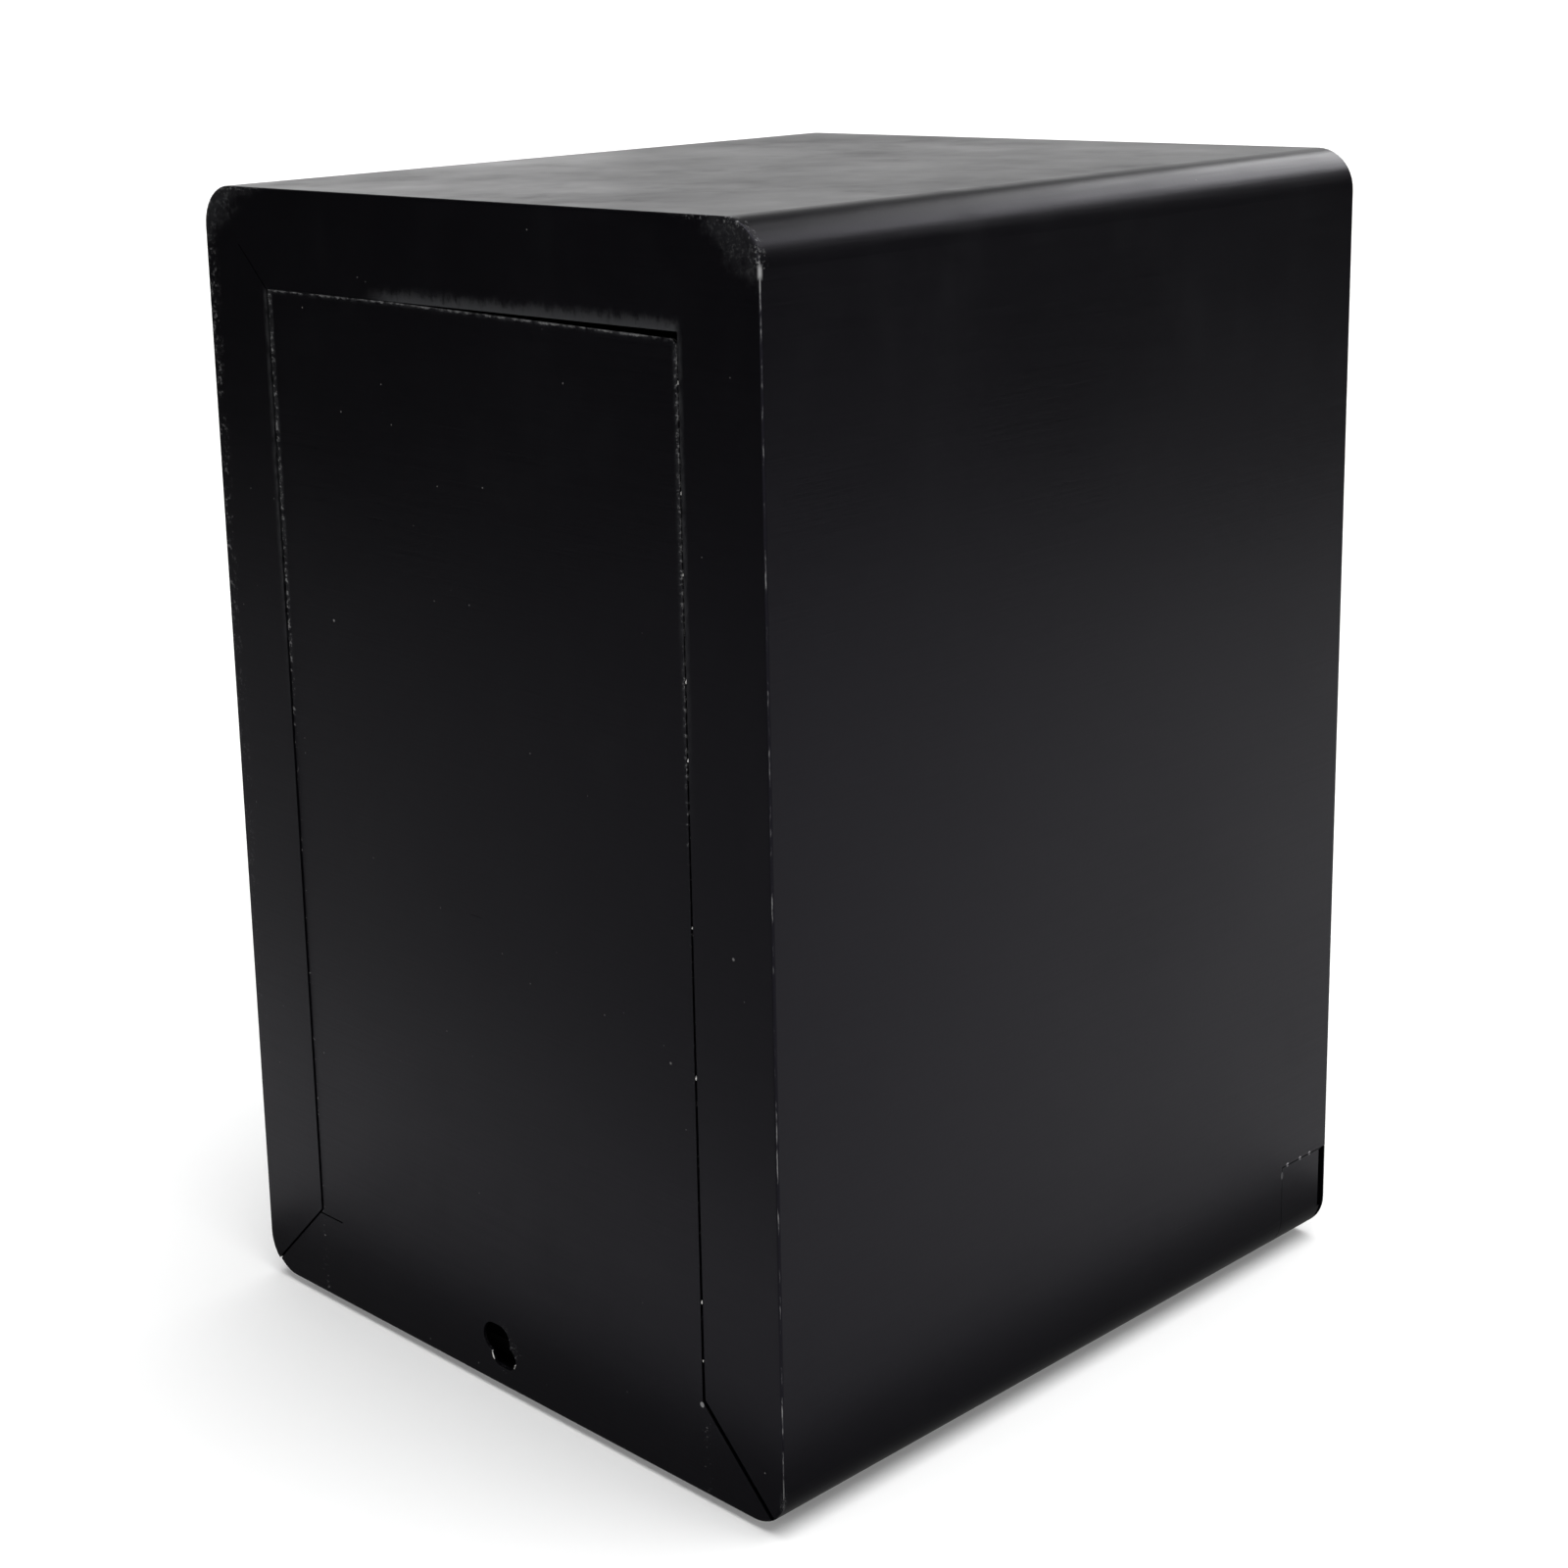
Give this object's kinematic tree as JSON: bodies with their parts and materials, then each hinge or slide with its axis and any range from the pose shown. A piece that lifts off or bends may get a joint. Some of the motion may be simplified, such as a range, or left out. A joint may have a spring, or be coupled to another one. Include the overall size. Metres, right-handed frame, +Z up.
{
  "type": "book drop box",
  "caption": "Compact steel book return box with a deposit flap over a sloping chute, an inner baffle and a lockable collection door.",
  "frame": {"origin": "on the floor, under the centre of the bounding box of the whole part with its key in the lock", "axes": "+Z up; the front with the deposit flap and door faces -Y; +X is to the right of someone who looks at the front"},
  "size_m": [0.398, 0.464, 0.604],
  "materials": {
    "black_paint": "black satin enamel over lightly brushed steel, worn to bare metal at the corners",
    "inner_paint": "black satin enamel",
    "black_hardware": "black coated steel",
    "zinc_steel": "zinc plated",
    "lock_chrome": "polished nickel plate",
    "key_brass": "tumbled brass",
    "black_rubber": "matte rubber",
    "trim_plastic": "fine-grained moulded edging"
  },
  "bodies": {
    "box": {"body_wrap": "black_paint", "rear_panel": "black_paint", "rear_strip_left": "inner_paint", "rear_strip_right": "inner_paint", "base_plate": "inner_paint", "front_sill": "black_paint", "cross_rail": "inner_paint", "front_fascia": "black_paint", "slot_trim": "trim_plastic", "front_rivets": "black_hardware", "flap_bracket_left": "inner_paint", "flap_bracket_right": "inner_paint", "flap_rod": "zinc_steel", "flap_clips": "zinc_steel", "baffle_bracket_left": "inner_paint", "baffle_bracket_right": "inner_paint", "baffle_rod": "zinc_steel", "baffle_clips": "zinc_steel", "chute": "inner_paint", "landing_mat": "black_rubber", "feet": "black_rubber", "foot_studs": "zinc_steel", "foot_nuts": "zinc_steel", "door_bumpers": "black_rubber", "hinge_leaf_body_upper": "black_hardware", "hinge_leaf_body_lower": "black_hardware", "hinge_pin_upper": "zinc_steel", "hinge_pin_lower": "zinc_steel", "hinge_rivets_body": "black_hardware", "door_keeper": "inner_paint"},
    "flap": {"deposit_flap": "inner_paint", "flap_weight": "inner_paint"},
    "baffle": {"baffle": "inner_paint"},
    "door": {"door_panel": "black_paint", "door_stiffener": "inner_paint", "hinge_leaf_door_upper": "black_hardware", "hinge_leaf_door_lower": "black_hardware", "hinge_rivets_door": "black_hardware", "lock_barrel": "lock_chrome", "lock_nut": "zinc_steel"},
    "lock": {"lock_plug": "lock_chrome", "lock_cam": "zinc_steel", "cam_screw": "zinc_steel", "key": "key_brass"}
  },
  "joints": [
    {"name": "flap_swing", "type": "hinge", "parent": "box", "child": "flap", "pos_m": [0, -0.1944, 0.53], "axis": [1, 0, 0], "range_deg": [0, 65]},
    {"name": "baffle_swing", "type": "hinge", "parent": "box", "child": "baffle", "pos_m": [0, -0.053, 0.5865], "axis": [1, 0, 0], "range_deg": [-20, 55]},
    {"name": "door_hinge", "type": "hinge", "parent": "box", "child": "door", "pos_m": [-0.168, -0.2068, 0.201], "axis": [0, 0, -1], "range_deg": [0, 115]},
    {"name": "lock_turn", "type": "hinge", "parent": "door", "child": "lock", "pos_m": [0.15, -0.203, 0.201], "axis": [0, -1, 0], "range_deg": [0, 90]}
  ]
}
